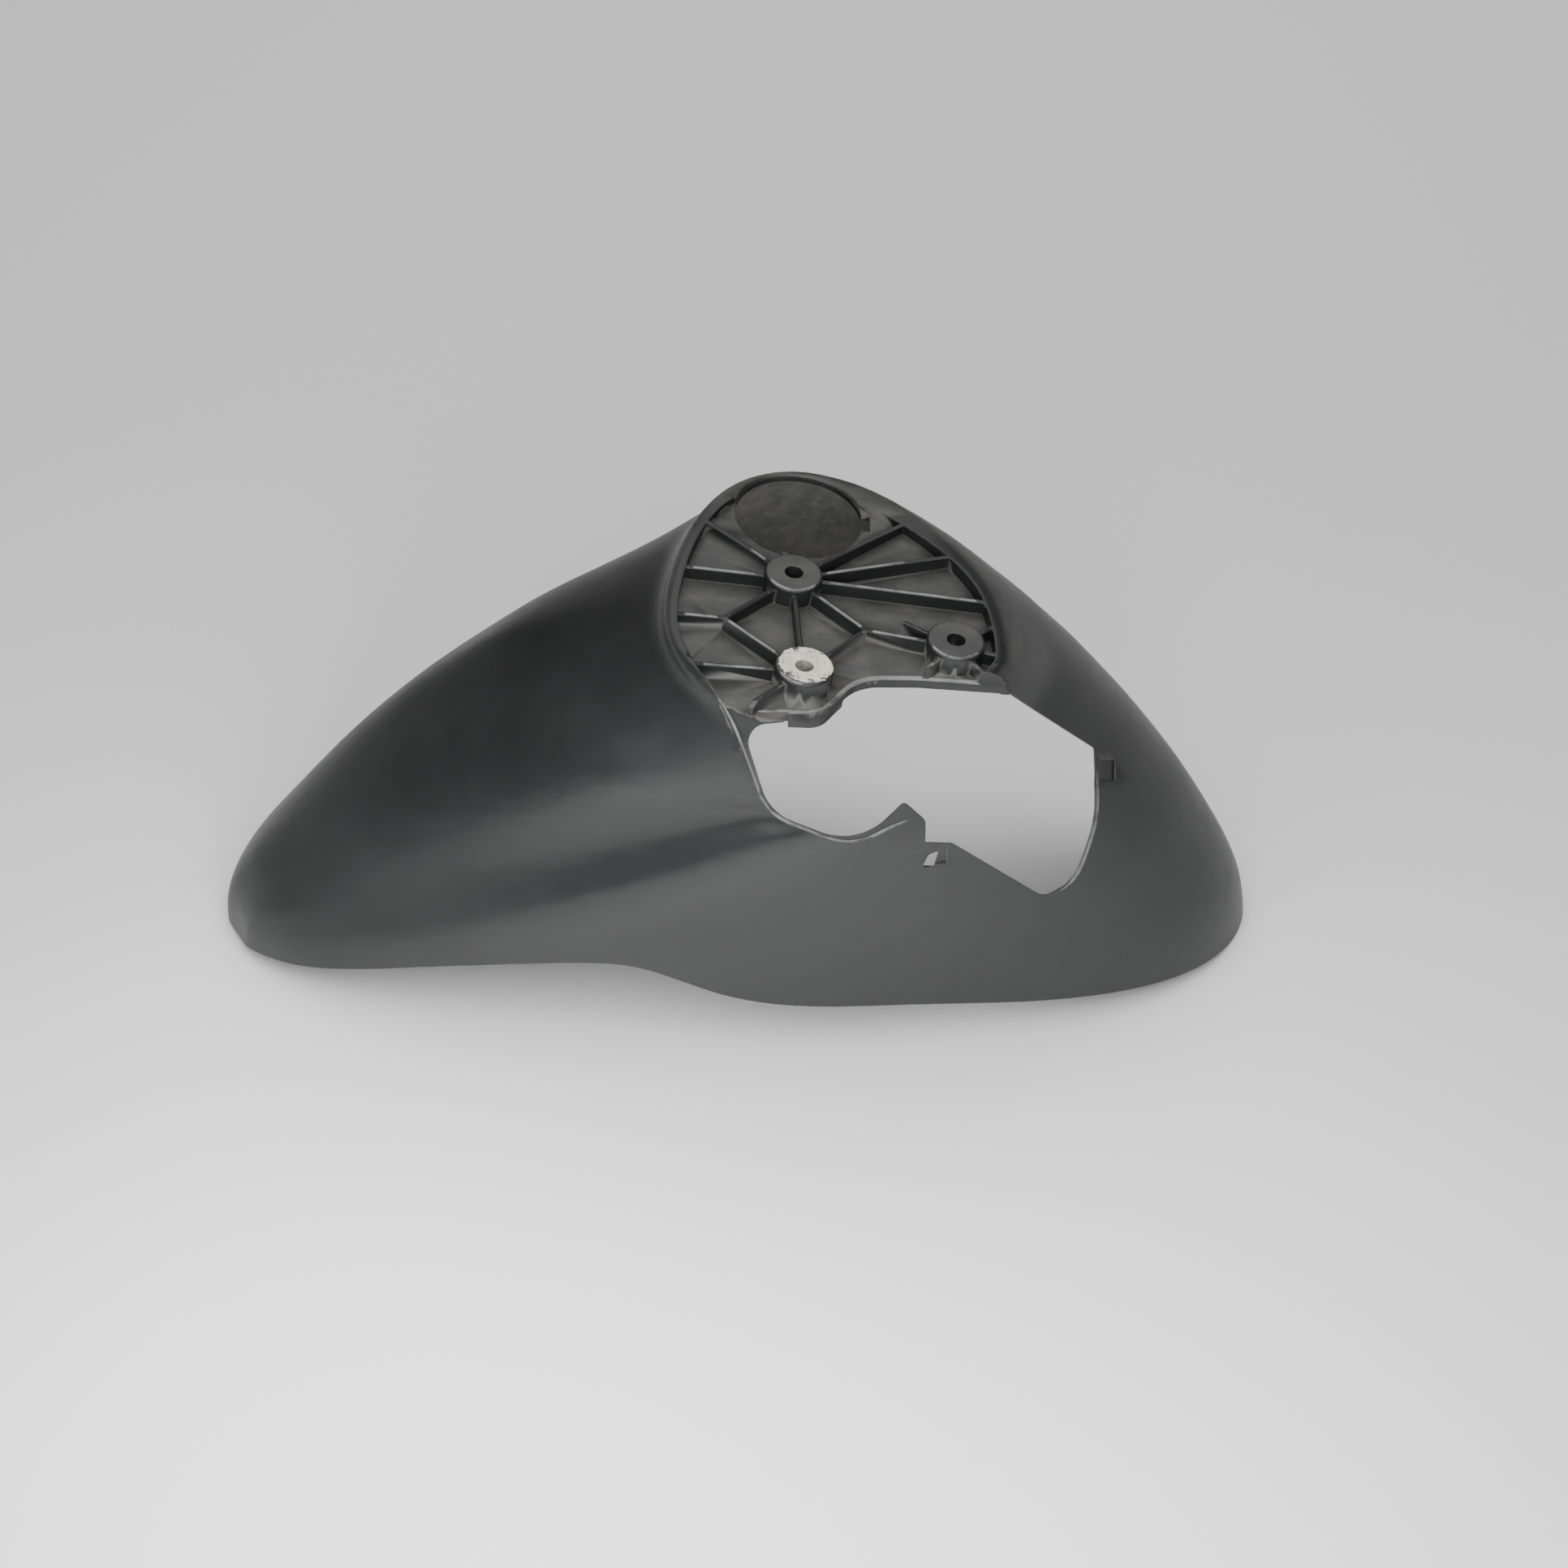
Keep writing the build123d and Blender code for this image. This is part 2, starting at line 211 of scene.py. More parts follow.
class MudguardFinish(bpy.types.PropertyGroup):
    """Colours and gloss of the moulded plastic."""

    skin_colour: FloatVectorProperty(
        name="Skin", description="Black of the moulded skin", size=3, subtype="COLOR",
        default=(0.009, 0.0093, 0.0098))
    haze_colour: FloatVectorProperty(
        name="Haze", description="Grey of the faded patches", size=3, subtype="COLOR",
        default=(0.020, 0.0205, 0.0215))
    dust_colour: FloatVectorProperty(
        name="Dust", description="Dust that lies on the seat and in rubbed edges", size=3, subtype="COLOR",
        default=(0.105, 0.103, 0.098))
    # the inner grey is partly the dusty matt plastic and partly a painted fill light that lifts the shaded
    # inside
    inner_grey_and_fill_light: FloatVectorProperty(
        name="Inner skin", description="Black of the matt inner skin", size=3, subtype="COLOR",
        default=(0.075, 0.075, 0.075))
    dirt_colour: FloatVectorProperty(
        name="Road dirt", description="Grey dirt on the inner skin", size=3, subtype="COLOR",
        default=(0.21, 0.205, 0.195))
    # the pale grey and its gloss paint the highlight lines on the rib tops, boss edges and lips
    painted_highlight_colour: FloatVectorProperty(
        name="Rubbed", description="Grey of the rib tops, boss edges and lips that are rubbed smooth",
        size=3, subtype="COLOR", default=(0.2, 0.2, 0.2))
    painted_highlight_roughness: FloatProperty(
        name="Rubbed roughness", description="Gloss of the rib tops, boss edges and lips that are rubbed",
        default=0.2, min=0, max=1, subtype="FACTOR")
    stain_colour: FloatVectorProperty(
        name="Stain", description="Stains on the worn face", size=3, subtype="COLOR",
        default=(0.60, 0.56, 0.44))
    worn_colour: FloatVectorProperty(
        name="Worn face", description="Pale face of the boss that the fork has rubbed", size=3,
        subtype="COLOR", default=(0.74, 0.73, 0.63))
    fleck_colour: FloatVectorProperty(
        name="Flecks", description="Dark flecks left on the worn face", size=3, subtype="COLOR",
        default=(0.05, 0.048, 0.042))
    skin_roughness: FloatProperty(
        name="Skin roughness", description="Gloss of the outer skin", default=0.36, min=0, max=1,
        subtype="FACTOR")
    inner_roughness: FloatProperty(
        name="Inner roughness", description="Gloss of the inner skin", default=0.62, min=0, max=1,
        subtype="FACTOR")
    grain_size: FloatProperty(
        name="Grain size", description="Spacing of the moulded grain", default=0.0006, unit="LENGTH")


class StudioSettings(bpy.types.PropertyGroup):
    """Floor, lights and camera."""

    floor_colour: FloatVectorProperty(
        name="Floor", description="Pale studio floor", size=3, subtype="COLOR",
        default=(0.92, 0.92, 0.92))
    room_light: FloatProperty(
        name="Room light", description="Strength of the light from the walls", default=0.16, min=0)
    ceiling_colour: FloatVectorProperty(
        name="Ceiling", description="Dark ceiling of the room", size=3, subtype="COLOR",
        default=(0.03, 0.03, 0.03))
    overhead_power: FloatProperty(
        name="Overhead light", description="Power of the large light overhead",
        default=42, unit="POWER")
    backdrop_power: FloatProperty(
        name="Backdrop light", description="Power of the light over the floor behind",
        default=13, unit="POWER")
    side_power: FloatProperty(
        name="Side light", description="Power of the light on the nose's side",
        default=4, unit="POWER")
    front_pool_power: FloatProperty(
        name="Front pool", description="Power of the low light over the floor by the nose",
        default=2.6, unit="POWER")
    rear_pool_power: FloatProperty(
        name="Rear pool", description="Power of the low light over the floor by the apron",
        default=5, unit="POWER")
    camera_place: FloatVectorProperty(
        name="Camera", description="Where the camera stands", size=3, subtype="TRANSLATION",
        default=(-0.0075, -1.5937, 1.3012))
    camera_target: FloatVectorProperty(
        name="Target", description="What the camera looks at", size=3, subtype="TRANSLATION",
        default=(-0.0075, 0.0153, -0.1992))
    camera_lens: FloatProperty(
        name="Lens", description="Focal length in millimetres for a sensor 36 mm wide", default=93.06)


def seat_point(along, across, height=0.0):
    """A place on the fork seat, from the steering axis, in metres."""
    return SEAT_BACK * along + Vector((0, across, 0)) + SEAT_UP * height


def over_seat(along, across, turn=0):
    """A corner of a line that hangs over the seat, with its rounding, from millimetres."""
    return seat_point(along * MM, across * MM, OVER_SEAT), turn * MM


def off_opening(along, up, turn):
    """A corner of a line that stands off the fork opening, with its rounding, from millimetres."""
    return Vector((along * MM, 0, 0)) + OPENING_UP * up * MM + OPENING_OUT * OUT_OF_OPENING, turn * MM


def link(thing):
    """Puts an object in the scene."""
    bpy.context.scene.collection.objects.link(thing)
    return thing


def aim(thing, place, target):
    """Stands a light or the camera at a place and points it at a target."""
    thing.location = place
    thing.rotation_euler = (Vector(target) - Vector(place)).to_track_quat("-Z", "Y").to_euler()


def plain_mesh(carrier, name):
    """The evaluated mesh of an object as a plain mesh, with the object taken away."""
    evaluated = carrier.evaluated_get(bpy.context.evaluated_depsgraph_get())
    mesh = bpy.data.meshes.new_from_object(evaluated)
    mesh.name = name
    source = carrier.data
    bpy.data.objects.remove(carrier)
    bpy.data.meshes.remove(source)
    return mesh


def add_piece(mesh, name):
    """Makes a mesh a piece of the part."""
    piece = link(bpy.data.objects.new(name, mesh))
    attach(piece, "root")
    return piece


class NodeBench:
    """Adds nodes to a tree and joins their sockets."""

    def __init__(self, tree):
        self.tree = tree

    def add(self, kind, inputs=None, **settings):
        node = self.tree.nodes.new(kind)
        for key, value in settings.items():
            setattr(node, key, value)
        for key, value in (inputs or {}).items():
            self.feed(node.inputs[key], value)
        return node

    def out(self, kind, inputs=None, **settings):
        """The first output of a new node."""
        return self.add(kind, inputs, **settings).outputs[0]

    def feed(self, socket, value):
        if isinstance(value, bpy.types.NodeSocket):
            self.tree.links.new(value, socket)
        else:
            socket.default_value = value

    def math(self, operation, *values, clamp=False):
        return self.out("ShaderNodeMath", dict(enumerate(values)), operation=operation, use_clamp=clamp)

    def span(self, value, low, high):
        """A value from 0 to 1 spread from low to high."""
        return self.math("MULTIPLY_ADD", value, high - low, low)

    def weigh(self, first, second, share):
        """A sum in which the first value has a share and the second has the rest."""
        return self.math("MULTIPLY_ADD", first, share, self.math("MULTIPLY", second, 1 - share))

    def vector(self, operation, *values):
        node = self.add("ShaderNodeVectorMath", dict(enumerate(values)), operation=operation)
        return node.outputs["Value" if operation in ("DOT_PRODUCT", "LENGTH") else "Vector"]

    def scaled(self, vector, factor):
        return self.out("ShaderNodeVectorMath", {0: vector, "Scale": factor}, operation="SCALE")

    def ramp(self, value, low, high):
        """A smooth step from 0 at low to 1 at high."""
        inputs = {"Value": value, "From Min": low, "From Max": high}
        return self.out("ShaderNodeMapRange", inputs, interpolation_type="SMOOTHSTEP")

    def noise(self, place, scale, detail, roughness):
        inputs = {"Vector": place, "Scale": scale, "Detail": detail, "Roughness": roughness}
        return self.add("ShaderNodeTexNoise", inputs).outputs["Fac"]

    def rounded(self, radius):
        """Normals that round the moulded edges off."""
        return self.out("ShaderNodeBevel", {"Radius": radius}, samples=EDGE_SAMPLES)

    def bump(self, height, strength, distance, normal):
        inputs = {"Height": height, "Strength": strength, "Distance": distance, "Normal": normal}
        return self.out("ShaderNodeBump", inputs)

    def mix(self, factor, first, second):
        """A colour between two, by the colour sockets of a Mix node."""
        node = self.add("ShaderNodeMix", {0: factor}, data_type="RGBA")
        self.feed(node.inputs[6], first)
        self.feed(node.inputs[7], second)
        return node.outputs[2]


def colour(values):
    return (*values, 1.0)


def new_finish(name):
    """A new material with its node bench, its shader and the place on the piece."""
    material = bpy.data.materials.new(name)
    material.use_nodes = True
    bench = NodeBench(material.node_tree)
    shader = material.node_tree.nodes["Principled BSDF"]
    return material, bench, shader, bench.add("ShaderNodeTexCoord").outputs["Object"]


def faded_skin(bench, place, finish):
    """Black of the skin with faded patches, and how faded each place is."""
    cloud = bench.ramp(bench.noise(place, scale=11.0, detail=5.0, roughness=0.6), low=0.35, high=0.72)
    speckle = bench.noise(place, scale=260.0, detail=4.0, roughness=0.7)
    faded = bench.weigh(speckle, cloud, share=0.4)
    return bench.mix(faded, colour(finish.skin_colour), colour(finish.haze_colour)), faded


def seat_dust(bench, place):
    """Dust that lies in streaks on what faces up in the seat."""
    height = bench.vector("DOT_PRODUCT", place, tuple(SEAT_UP))
    normal = bench.add("ShaderNodeNewGeometry").outputs["Normal"]
    facing = bench.ramp(bench.vector("DOT_PRODUCT", normal, tuple(SEAT_UP)), low=0.3, high=0.95)
    # on the floor of the seat and on the boss faces, but not on the rib tops
    floor = bench.math("MULTIPLY", bench.ramp(height, low=-0.006, high=-0.002),
                       bench.ramp(height, low=0.0065, high=0.004))
    bosses = bench.ramp(height, low=0.0105, high=0.0112)
    in_seat = bench.math("MULTIPLY", bench.math("ADD", floor, bosses), facing)
    drawn_out = bench.vector("MULTIPLY", place, (0.3, 1.0, 1.0))
    streaks = bench.ramp(bench.noise(drawn_out, scale=120.0, detail=5.0, roughness=0.6), low=0.38, high=0.68)
    clumps = bench.ramp(bench.noise(place, scale=45.0, detail=6.0, roughness=0.65), low=0.32, high=0.72)
    laid = bench.math("MULTIPLY", bench.span(streaks, low=0.45, high=0.8), bench.span(clumps, low=0.4, high=1.0))
    return bench.math("MULTIPLY", in_seat, laid)


def pale_rounded_edges(bench, place, rounded):
    """Paler along every moulded edge, where the rounded normals turn away from the flat face."""
    flat = bench.add("ShaderNodeNewGeometry").outputs["True Normal"]
    turned = bench.math("SUBTRACT", 1.0, bench.vector("DOT_PRODUCT", rounded, flat))
    broken = bench.span(bench.noise(place, scale=300.0, detail=4.0, roughness=0.7), low=0.1, high=0.9)
    return bench.math("MULTIPLY", bench.ramp(turned, low=0.02, high=0.25), broken, clamp=True)


def worn_face(bench, place, finish):
    """Colour of the worn boss face with its dark flecks, and where it shows."""
    offset = bench.vector("SUBTRACT", place, tuple(WORN_BOSS))
    rise = bench.vector("DOT_PRODUCT", offset, tuple(SEAT_UP))
    level = bench.vector("SUBTRACT", offset, bench.scaled(tuple(SEAT_UP), rise))
    # the wear lies a little to the rear and to the closed side, and its outline is ragged
    aside = bench.vector("LENGTH", bench.vector("SUBTRACT", level, (0.0010, 0.0012, 0)))
    rag = bench.noise(place, scale=330.0, detail=4.0, roughness=0.6)
    ragged = bench.math("MULTIPLY_ADD", rag, 0.0040, aside)
    shown = bench.math("MULTIPLY", bench.ramp(ragged, low=0.0157, high=0.0149),
                       bench.ramp(rise, low=-0.0013, high=-0.0006))
    in_hole = bench.math("MULTIPLY", bench.ramp(bench.vector("LENGTH", level), low=0.0056, high=0.0050),
                         bench.ramp(rise, low=-0.012, high=-0.006))
    # more flecks are left near the edge than in the middle
    chips = bench.ramp(bench.noise(place, scale=270.0, detail=4.0, roughness=0.65), low=0.48, high=0.42)
    near_edge = bench.ramp(aside, low=0.0080, high=0.0120)
    flecks = bench.math("MULTIPLY", chips, bench.span(near_edge, low=0.25, high=0.95))
    stain = bench.ramp(bench.noise(place, scale=190.0, detail=4.0, roughness=0.6), low=0.35, high=0.7)
    pale = bench.mix(stain, colour(finish.worn_colour), colour(finish.stain_colour))
    pale = bench.mix(flecks, pale, colour(finish.fleck_colour))
    return pale, bench.math("MAXIMUM", shown, bench.math("MULTIPLY", in_hole, HOLE_WEAR))


def moulded_plastic(name, finish, sizes):
    """Satin black plastic with moulded grain, faded patches, dust on the seat and one worn boss face."""
    material, bench, shader, place = new_finish(name)
    rounded = bench.rounded(sizes.edge_radius)

    skin, faded = faded_skin(bench, place, finish)
    dust = seat_dust(bench, place)
    skin = bench.mix(dust, skin, colour(finish.dust_colour))
    # every rounded edge is made paler with the dust grey
    skin = bench.mix(pale_rounded_edges(bench, place, rounded), skin, colour(finish.dust_colour))
    pale, worn = worn_face(bench, place, finish)
    bench.feed(shader.inputs["Base Color"], bench.mix(worn, skin, pale))

    rough = bench.math("MULTIPLY_ADD", faded, FADED_ROUGHER, finish.skin_roughness)
    rough = bench.math("MULTIPLY_ADD", dust, DUST_ROUGHER, rough)
    rough = bench.math("MULTIPLY_ADD", worn, WORN_ROUGHER, rough, clamp=True)
    bench.feed(shader.inputs["Roughness"], rough)
    grain = bench.noise(place, scale=1.0 / finish.grain_size, detail=2.0, roughness=0.5)
    bench.feed(shader.inputs["Normal"], bench.bump(grain, strength=0.25, distance=0.00006, normal=rounded))
    return material


def rubbed_smooth(name, finish):
    """Pale glossy grey that is a painted highlight along the rib tops, boss edges and lips."""
    material, bench, shader, place = new_finish(name)
    broken = bench.ramp(bench.noise(place, scale=60.0, detail=5.0, roughness=0.6), low=0.25, high=0.65)
    # the painted highlight, broken into patches of the faded grey
    rubbed = bench.mix(broken, colour(finish.haze_colour), colour(finish.painted_highlight_colour))
    bench.feed(shader.inputs["Base Color"], rubbed)
    rough = bench.math("MULTIPLY_ADD", broken, BROKEN_ROUGHER, finish.painted_highlight_roughness)
    bench.feed(shader.inputs["Roughness"], rough)
    normal = bench.add("ShaderNodeNewGeometry").outputs["Normal"]
    scratches = bench.noise(place, scale=900.0, detail=3.0, roughness=0.6)
    bench.feed(shader.inputs["Normal"], bench.bump(scratches, strength=0.2, distance=0.00005, normal=normal))
    return material


def scuffed_inside(name, finish, sizes):
    """Matt inner skin, scuffed and dusty from the road, its grey lifted as a painted fill light for the shaded
    inside.
    """
    material, bench, shader, place = new_finish(name)
    spatter = bench.ramp(bench.noise(place, scale=130.0, detail=6.0, roughness=0.7), low=0.35, high=0.7)
    cloud = bench.ramp(bench.noise(place, scale=20.0, detail=4.0, roughness=0.6), low=0.25, high=0.75)
    dirt = bench.weigh(spatter, cloud, share=0.45)
    dirty = bench.mix(dirt, colour(finish.inner_grey_and_fill_light), colour(finish.dirt_colour))
    bench.feed(shader.inputs["Base Color"], dirty)
    rough = bench.math("MULTIPLY_ADD", dirt, DIRT_ROUGHER, finish.inner_roughness)
    bench.feed(shader.inputs["Roughness"], rough)
    # the grain is twice as coarse as on the outer skin
    grain = bench.noise(place, scale=0.5 / finish.grain_size, detail=3.0, roughness=0.6)
    rounded = bench.rounded(sizes.edge_radius)
    bench.feed(shader.inputs["Normal"], bench.bump(grain, strength=0.35, distance=0.0001, normal=rounded))
    return material


def skin_sides(mesh):
    """Marks the faces of the inner skin with the second material."""
    low, high = Vector(CAD_BOX[0]), Vector(CAD_BOX[1])
    middle = Vector(((low.x + high.x) / 2, HOOD_MIDDLE, low.z))
    for face in mesh.polygons:
        outward = (Vector(face.center) - middle).normalized()
        height = Vector(face.center).dot(SEAT_UP)
        limit = INWARD if height < CLEAR_OF_SEAT else INWARD_NEAR_SEAT
        face.material_index = int(height < INNER_TOP and face.normal.dot(outward) < limit)


def bead_tree():
    """Nodes that lay a rounded bead where rays from drawn lines meet the shell."""
    tree = bpy.data.node_groups.new("bead_on_shell", "GeometryNodeTree")
    inputs = (("Lines", "Geometry"), ("Shell", "Object"), ("Ray", "Vector"), ("Seat up", "Vector"),
              ("Lowest", "Float"), ("Highest", "Float"), ("Width", "Float"), ("Crown", "Float"),
              ("Taper", "Float"), ("Sides", "Int"), ("Step", "Float"), ("Finish", "Material"))
    for name, kind in inputs:
        tree.interface.new_socket(name, in_out="INPUT", socket_type="NodeSocket" + kind)
    tree.interface.new_socket("Bead", in_out="OUTPUT", socket_type="NodeSocketGeometry")
    bench = NodeBench(tree)
    given = bench.add("NodeGroupInput").outputs

    # the drawn lines, with rounded corners
    curve = bench.out("GeometryNodeMeshToCurve", {"Mesh": given["Lines"]})
    turn = bench.out("GeometryNodeInputNamedAttribute", {"Name": "turn"})
    rounding = {"Curve": curve, "Radius": turn, "Count": CORNER_STEPS, "Limit Radius": True}
    curve = bench.out("GeometryNodeFilletCurve", rounding, mode="POLY")
    curve = bench.out("GeometryNodeResampleCurve", {"Curve": curve, "Length": given["Step"]}, mode="LENGTH")

    # laid on the shell, and left out where it is too low or too high over the seat
    shell = bench.add("GeometryNodeObjectInfo", {"Object": given["Shell"]}).outputs["Geometry"]
    place = bench.out("GeometryNodeInputPosition")
    rays = {"Target Geometry": shell, "Source Position": place, "Ray Direction": given["Ray"],
            "Ray Length": RAY_LENGTH}
    hit = bench.add("GeometryNodeRaycast", rays).outputs
    height = bench.vector("DOT_PRODUCT", hit["Hit Position"], given["Seat up"])
    kept = bench.math("MULTIPLY", bench.math("GREATER_THAN", height, given["Lowest"]),
                      bench.math("LESS_THAN", height, given["Highest"]))
    left_out = bench.math("SUBTRACT", 1.0, bench.math("MULTIPLY", kept, hit["Is Hit"]))
    unlaid = {"Geometry": curve, "Selection": left_out}
    curve = bench.out("GeometryNodeDeleteGeometry", unlaid, domain="POINT")
    sunk = bench.scaled(hit["Hit Normal"], bench.math("MULTIPLY", given["Crown"], -SUNK_CROWNS))
    smoothed = bench.add("GeometryNodeBlurAttribute", data_type="FLOAT_VECTOR")
    bench.feed(smoothed.inputs["Value"], bench.vector("ADD", hit["Hit Position"], sunk))
    smoothed.inputs["Iterations"].default_value = SMOOTHING_PASSES
    laid = {"Geometry": curve, "Position": smoothed.outputs["Value"]}
    curve = bench.out("GeometryNodeSetPosition", laid)
    curve = bench.out("GeometryNodeSetCurveNormal", {"Curve": curve}, mode="Z_UP")

    # an oval swept along it, thinner towards the ends
    ring = bench.out("GeometryNodeCurvePrimitiveCircle", {"Resolution": given["Sides"], "Radius": 1.0})
    half_height = bench.math("MULTIPLY", given["Crown"], 1 + SUNK_CROWNS)
    half_width = bench.math("MULTIPLY", given["Width"], 0.5)
    oval = bench.out("ShaderNodeCombineXYZ", {0: half_height, 1: half_width, 2: 1.0})
    ring = bench.out("GeometryNodeTransform", {"Geometry": ring, "Scale": oval})
    from_start = bench.add("GeometryNodeSplineParameter").outputs["Length"]
    whole = bench.add("GeometryNodeSplineLength").outputs["Length"]
    from_end = bench.math("MINIMUM", from_start, bench.math("SUBTRACT", whole, from_start))
    grown = bench.ramp(bench.math("DIVIDE", from_end, given["Taper"]), low=0.0, high=1.0)
    girth = bench.span(grown, low=END_SHARE, high=1.0)
    swept = {"Curve": curve, "Profile Curve": ring, "Scale": girth, "Fill Caps": True}
    bead = bench.out("GeometryNodeCurveToMesh", swept)
    bead = bench.out("GeometryNodeSetShadeSmooth", {"Geometry": bead})
    bead = bench.out("GeometryNodeRealizeInstances", {"Geometry": bead})
    bead = bench.out("GeometryNodeSetMaterial", {"Geometry": bead, "Material": given["Finish"]})
    bench.add("NodeGroupOutput", {0: bead})
    return tree


def line_mesh(name, lines):
    """A mesh of open lines, each a list of (place, corner radius)."""
    points, edges, turns = [], [], []
    for line in lines:
        edges += [(len(points) + i, len(points) + i + 1) for i in range(len(line) - 1)]
        points += [place for place, turn in line]
        turns += [turn for place, turn in line]
    mesh = bpy.data.meshes.new(name)
    mesh.from_pydata(points, edges, [])
    mesh.attributes.new("turn", "FLOAT", "POINT").data.foreach_set("value", turns)
    return mesh


# a bead takes the pale painted highlight finish unless another one is given
def lay_bead(context, name, lines, finish="rubbed_smooth", **inputs):
    """Lays a bead on the shell along lines and makes it a piece."""
    tree = bpy.data.node_groups.get("bead_on_shell") or bead_tree()
    sizes = context.scene.mudguard_sizes
    inputs.update({"Shell": bpy.data.objects["moulded_shell"], "Seat up": SEAT_UP, "Sides": sizes.bead_sides,
                   "Step": sizes.bead_step, "Finish": bpy.data.materials[finish]})
    carrier = link(bpy.data.objects.new(name, line_mesh(name, lines)))
    nodes = carrier.modifiers.new("bead", "NODES")
    nodes.node_group = tree
    for socket in tree.interface.items_tree:
        if socket.name in inputs:
            nodes[socket.identifier] = inputs[socket.name]
    mesh = plain_mesh(carrier, name)
    if not mesh.polygons:
        raise RuntimeError("no bead was laid for " + name)
    return add_piece(mesh, name)


class MUDGUARD_OT_shell(bpy.types.Operator):
    """Dresses the moulded shell, and makes the finishes that the other pieces share."""

    bl_idname = "mudguard.shell"
    bl_label = "Moulded shell"

    def execute(self, context):
        finish, sizes = context.scene.mudguard_finish, context.scene.mudguard_sizes
        mesh = frame["nodes"]["mudguard"].data.copy()
        work = bmesh.new()
        work.from_mesh(mesh)
        bmesh.ops.remove_doubles(work, verts=work.verts, dist=1e-6)
        work.to_mesh(mesh)
        work.free()
        mesh.shade_smooth()
        mesh.set_sharp_from_angle(angle=sizes.sharp_angle)
        carrier = link(bpy.data.objects.new("moulded_shell", mesh))
        flats = carrier.modifiers.new("flat_faces_stay_flat", "WEIGHTED_NORMAL")
        flats.weight = 100
        flats.keep_sharp = True
        mesh = plain_mesh(carrier, "moulded_shell")
        mesh.materials.clear()
        mesh.materials.append(moulded_plastic("satin_black", finish, sizes))
        mesh.materials.append(scuffed_inside("scuffed_inside", finish, sizes))
        rubbed_smooth("rubbed_smooth", finish)
        skin_sides(mesh)
        shell = add_piece(mesh, "moulded_shell")
        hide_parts("mudguard")
        return {"FINISHED"}


class MUDGUARD_OT_rib_tops(bpy.types.Operator):
    """Rounds the tops of the seat's ribs, of which some carry a painted highlight and some are left dark."""

    bl_idname = "mudguard.rib_tops"
    bl_label = "Rib tops"

    def execute(self, context):
        sizes = context.scene.mudguard_sizes
        groups = (("rib_tops", HIGHLIT_RIBS, "rubbed_smooth"), ("dark_rib_tops", DARK_RIBS, "satin_black"))
        for name, ribs, finish in groups:
            lines = [[over_seat(*end) for end in rib] for rib in ribs]
            lay_bead(context, name, lines, finish, Ray=-SEAT_UP,
                     Lowest=sizes.rib_height - RIB_BAND, Highest=sizes.rib_height + RIB_BAND,
                     Width=sizes.rib_width, Crown=sizes.rib_crown, Taper=RIB_TAPER)
        return {"FINISHED"}


class MUDGUARD_OT_boss_edges(bpy.types.Operator):
    """Rounds the part of the edges of the boss faces that carries a painted highlight."""

    bl_idname = "mudguard.boss_edges"
    bl_label = "Boss edges"

    def execute(self, context):
        sizes = context.scene.mudguard_sizes
        radius = sizes.boss_radius - sizes.boss_edge / 2
        lines = []
        for (along, across), start, end in HIGHLIT_BOSS_ARCS:
            turns = [math.radians(turn) for turn in range(start, end + 1, EDGE_STEP)]
            places = [(along * MM + radius * math.cos(turn), across * MM + radius * math.sin(turn))
                      for turn in turns]
            lines.append([(seat_point(*place, OVER_SEAT), 0.0) for place in places])
        lay_bead(context, "boss_edges", lines, Ray=-SEAT_UP,
                 Lowest=sizes.boss_height - BOSS_BAND, Highest=sizes.boss_height + BOSS_BAND,
                 Width=sizes.boss_edge, Crown=sizes.rib_crown, Taper=BOSS_TAPER)
        return {"FINISHED"}


class MUDGUARD_OT_lips(bpy.types.Operator):
    """Rolls the lips along the fork opening and the near edge of the seat, in the pale finish of the painted
    highlight.
    """

    bl_idname = "mudguard.lips"
    bl_label = "Rolled lips"

    def execute(self, context):
        sizes = context.scene.mudguard_sizes
        seat = [[over_seat(*corner) for corner in SEAT_LIP]]
        lay_bead(context, "seat_lip", seat, Ray=-SEAT_UP, Lowest=SEAT_LIP_LOWEST, Highest=SEAT_LIP_HIGHEST,
                 Width=sizes.lip_width, Crown=sizes.lip_crown, Taper=SEAT_LIP_TAPER)
        opening = [[off_opening(*corner) for corner in line] for line in (FRONT_LIP, REAR_LIP)]
        lay_bead(context, "opening_lips", opening, Ray=-OPENING_OUT, Lowest=-ANY_HEIGHT, Highest=ANY_HEIGHT,
                 Width=sizes.lip_width, Crown=sizes.lip_crown, Taper=OPENING_LIP_TAPER)
        return {"FINISHED"}


class MUDGUARD_OT_lug(bpy.types.Operator):
    """Puts the small lug on the edge of the steering hole."""

    bl_idname = "mudguard.lug"
    bl_label = "Steering lug"

    def execute(self, context):
        sizes = context.scene.mudguard_sizes
        work = bmesh.new()
        bmesh.ops.create_cone(work, cap_ends=True, segments=LUG_SIDES, radius1=sizes.lug_radius,
                              radius2=sizes.lug_radius, depth=LUG_LENGTH)
        top = [edge for edge in work.edges if all(vert.co.z > 0 for vert in edge.verts)]
        bmesh.ops.bevel(work, geom=top, offset=LUG_ROUNDING, segments=3, affect="EDGES", profile=0.5)
        spot = seat_point(*(value * MM for value in LUG_PLACE))
        for vert in work.verts:
            vert.co = spot + seat_point(*vert.co)
        mesh = bpy.data.meshes.new("steering_lug")
        work.to_mesh(mesh)
        work.free()
        mesh.shade_smooth()
        mesh.set_sharp_from_angle(angle=sizes.sharp_angle)
        mesh.materials.append(bpy.data.materials["satin_black"])
        add_piece(mesh, "steering_lug")
        return {"FINISHED"}


